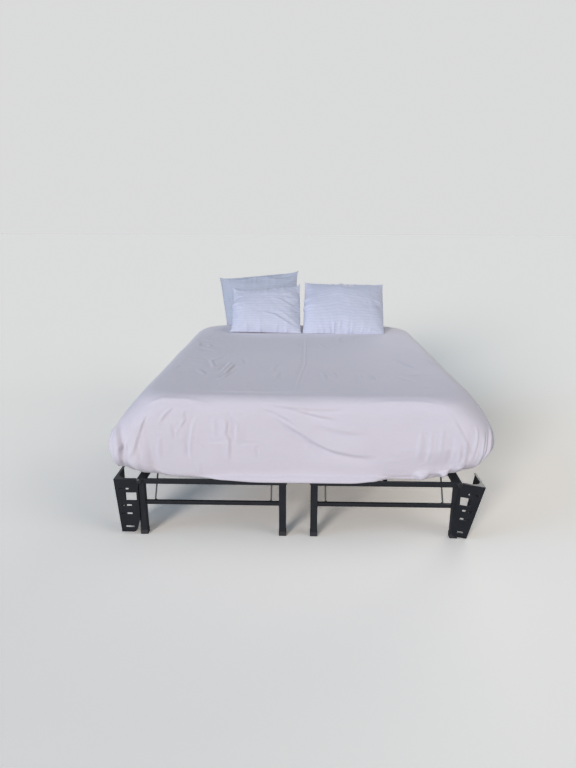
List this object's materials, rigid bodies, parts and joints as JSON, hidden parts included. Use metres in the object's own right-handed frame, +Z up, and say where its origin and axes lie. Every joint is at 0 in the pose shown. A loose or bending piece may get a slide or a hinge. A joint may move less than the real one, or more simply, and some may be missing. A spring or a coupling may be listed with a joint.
{
  "type": "folding platform bed",
  "caption": "King bed of a sleeping caboose: two folding steel half frames with slotted headboard brackets, fold-up legs, a mattress under a fitted sheet and leaning pillows.",
  "frame": {"origin": "on the floor, under the centre of the bed", "axes": "+X to the right as seen from the foot, +Y towards the head, +Z up"},
  "size_m": [1.964, 2.046, 1.1906],
  "materials": {
    "frame_black": "satin black powder coat",
    "bracket_black": "satin black powder coat",
    "brace_steel": "thin semi-gloss black over drawn rod",
    "cap_plastic": "moulded black foot cap",
    "bolt_zinc": "bright zinc plate",
    "sheet_cotton": "white woven cotton fitted sheet",
    "pillowcase_cotton": "white cotton with a self stripe"
  },
  "bodies": {
    "root": {"left_foot_deck": "frame_black", "left_foot_wires": "frame_black", "left_foot_bracket": "bracket_black", "left_head_deck": "frame_black", "left_head_wires": "frame_black", "left_head_bracket": "bracket_black", "left_fold_hinges": "frame_black", "left_leg_pivots": "frame_black", "right_foot_deck": "frame_black", "right_foot_wires": "frame_black", "right_foot_bracket": "bracket_black", "right_head_deck": "frame_black", "right_head_wires": "frame_black", "right_head_bracket": "bracket_black", "right_fold_hinges": "frame_black", "right_leg_pivots": "frame_black", "bracket_bolts": "bolt_zinc", "mattress": "sheet_cotton", "right_pillow": "pillowcase_cotton", "left_front_pillow": "pillowcase_cotton", "left_back_pillow": "pillowcase_cotton"},
    "left_foot_leg_frame": {"left_foot_legs": "frame_black", "left_foot_crossbar": "frame_black", "left_foot_caps": "cap_plastic"},
    "left_foot_brace_pair": {"left_foot_braces": "brace_steel"},
    "left_mid_leg_frame": {"left_mid_legs": "frame_black", "left_mid_crossbar": "frame_black", "left_mid_caps": "cap_plastic"},
    "left_mid_brace_pair": {"left_mid_braces": "brace_steel"},
    "left_head_leg_frame": {"left_head_legs": "frame_black", "left_head_crossbar": "frame_black", "left_head_caps": "cap_plastic"},
    "left_head_brace_pair": {"left_head_braces": "brace_steel"},
    "right_foot_leg_frame": {"right_foot_legs": "frame_black", "right_foot_crossbar": "frame_black", "right_foot_caps": "cap_plastic"},
    "right_foot_brace_pair": {"right_foot_braces": "brace_steel"},
    "right_mid_leg_frame": {"right_mid_legs": "frame_black", "right_mid_crossbar": "frame_black", "right_mid_caps": "cap_plastic"},
    "right_mid_brace_pair": {"right_mid_braces": "brace_steel"},
    "right_head_leg_frame": {"right_head_legs": "frame_black", "right_head_crossbar": "frame_black", "right_head_caps": "cap_plastic"},
    "right_head_brace_pair": {"right_head_braces": "brace_steel"}
  },
  "joints": [
    {"name": "left_foot_leg_fold", "type": "hinge", "parent": "root", "child": "left_foot_leg_frame", "pos_m": [-0.443, -0.963, 0.284], "axis": [1, 0, 0], "range_deg": [0, 90]},
    {"name": "left_foot_brace_turn", "type": "hinge", "parent": "left_foot_leg_frame", "child": "left_foot_brace_pair", "pos_m": [-0.443, -0.973, 0.179], "axis": [1, 0, 0], "range_deg": [-135.4, 0]},
    {"name": "left_mid_leg_fold", "type": "hinge", "parent": "root", "child": "left_mid_leg_frame", "pos_m": [-0.443, -0.054, 0.284], "axis": [-1, 0, 0], "range_deg": [0, 90]},
    {"name": "left_mid_brace_turn", "type": "hinge", "parent": "left_mid_leg_frame", "child": "left_mid_brace_pair", "pos_m": [-0.443, -0.044, 0.179], "axis": [-1, 0, 0], "range_deg": [-135.4, 0]},
    {"name": "left_head_leg_fold", "type": "hinge", "parent": "root", "child": "left_head_leg_frame", "pos_m": [-0.443, 0.963, 0.284], "axis": [-1, 0, 0], "range_deg": [0, 90]},
    {"name": "left_head_brace_turn", "type": "hinge", "parent": "left_head_leg_frame", "child": "left_head_brace_pair", "pos_m": [-0.443, 0.973, 0.179], "axis": [-1, 0, 0], "range_deg": [-135.4, 0]},
    {"name": "right_foot_leg_fold", "type": "hinge", "parent": "root", "child": "right_foot_leg_frame", "pos_m": [0.443, -0.963, 0.284], "axis": [1, 0, 0], "range_deg": [0, 90]},
    {"name": "right_foot_brace_turn", "type": "hinge", "parent": "right_foot_leg_frame", "child": "right_foot_brace_pair", "pos_m": [0.443, -0.973, 0.179], "axis": [1, 0, 0], "range_deg": [-135.4, 0]},
    {"name": "right_mid_leg_fold", "type": "hinge", "parent": "root", "child": "right_mid_leg_frame", "pos_m": [0.443, -0.054, 0.284], "axis": [-1, 0, 0], "range_deg": [0, 90]},
    {"name": "right_mid_brace_turn", "type": "hinge", "parent": "right_mid_leg_frame", "child": "right_mid_brace_pair", "pos_m": [0.443, -0.044, 0.179], "axis": [-1, 0, 0], "range_deg": [-135.4, 0]},
    {"name": "right_head_leg_fold", "type": "hinge", "parent": "root", "child": "right_head_leg_frame", "pos_m": [0.443, 0.963, 0.284], "axis": [-1, 0, 0], "range_deg": [0, 90]},
    {"name": "right_head_brace_turn", "type": "hinge", "parent": "right_head_leg_frame", "child": "right_head_brace_pair", "pos_m": [0.443, 0.973, 0.179], "axis": [-1, 0, 0], "range_deg": [-135.4, 0]}
  ],
  "couplings": [
    {"joint": "left_foot_brace_turn", "follows": "left_foot_leg_fold", "ratio": -1.5038},
    {"joint": "left_mid_brace_turn", "follows": "left_mid_leg_fold", "ratio": -1.5038},
    {"joint": "left_head_brace_turn", "follows": "left_head_leg_fold", "ratio": -1.5038},
    {"joint": "right_foot_brace_turn", "follows": "right_foot_leg_fold", "ratio": -1.5038},
    {"joint": "right_mid_brace_turn", "follows": "right_mid_leg_fold", "ratio": -1.5038},
    {"joint": "right_head_brace_turn", "follows": "right_head_leg_fold", "ratio": -1.5038}
  ]
}
